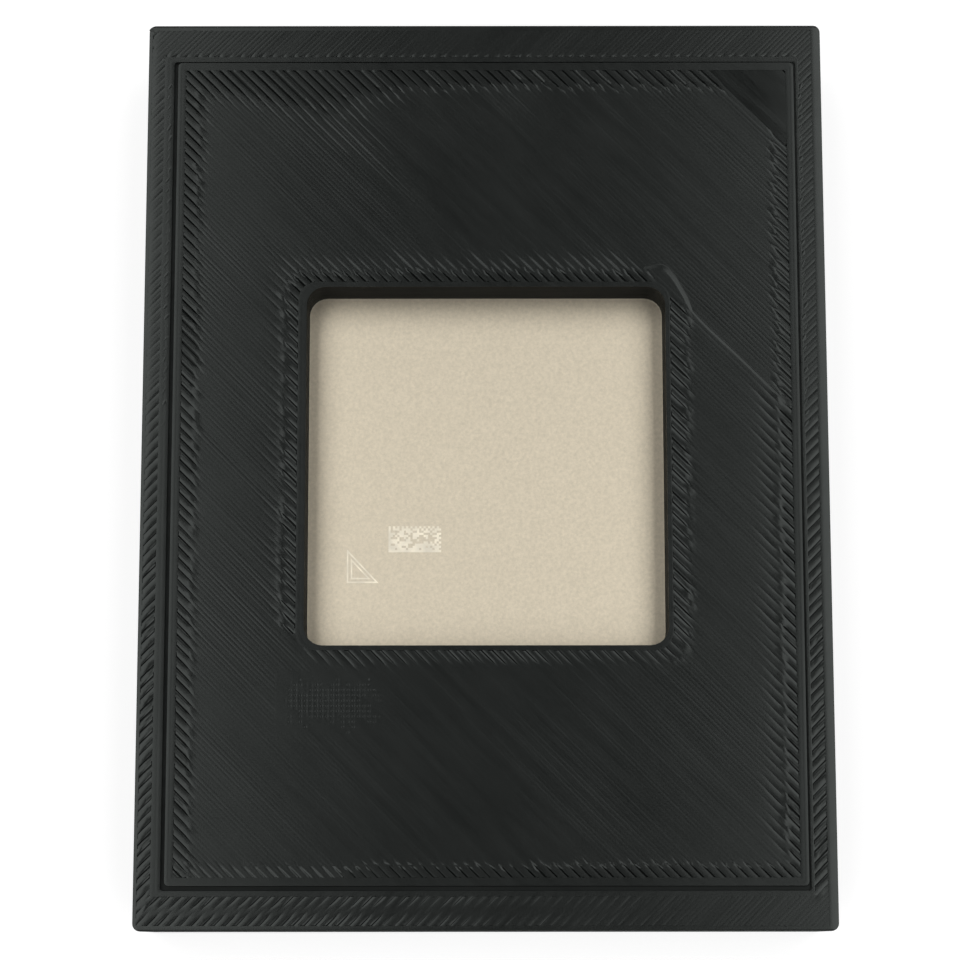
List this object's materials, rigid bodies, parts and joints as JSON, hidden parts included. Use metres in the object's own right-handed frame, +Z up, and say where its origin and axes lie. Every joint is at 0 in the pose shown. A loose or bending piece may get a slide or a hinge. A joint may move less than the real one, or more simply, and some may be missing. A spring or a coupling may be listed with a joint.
{
  "type": "cpu carrier",
  "caption": "Shallow rectangular printed case that holds a server processor on a seat, under a drop-in lid with a window over the heat spreader.",
  "frame": {"origin": "centre of the tray's underside", "axes": "+Z up out of the tray, +Y along the long side towards the end that is at the top of the picture, +X across"},
  "size_m": [0.0634, 0.0846, 0.012],
  "materials": {
    "tray_plastic": "black printed plastic, satin, with print lines",
    "lid_plastic": "black printed plastic, satin, with diagonal print lines",
    "board_laminate": "green solder mask",
    "plated_metal": "satin nickel plating with a warm tint",
    "silicon": "polished",
    "interface_paste": "grey paste",
    "sealant": "black silicone",
    "capacitor_body": "tan ceramic"
  },
  "bodies": {
    "tray": {"tray": "tray_plastic", "package_substrate": "board_laminate", "heat_spreader": "plated_metal", "silicon_die": "silicon", "thermal_interface": "interface_paste", "spreader_sealant": "sealant", "land_side_capacitors": "capacitor_body"},
    "lid": {"lid": "lid_plastic"}
  },
  "joints": [
    {"name": "lid_lift", "type": "slide", "parent": "tray", "child": "lid", "axis": [0, 0, 1], "range_m": [0, 0.04]}
  ]
}
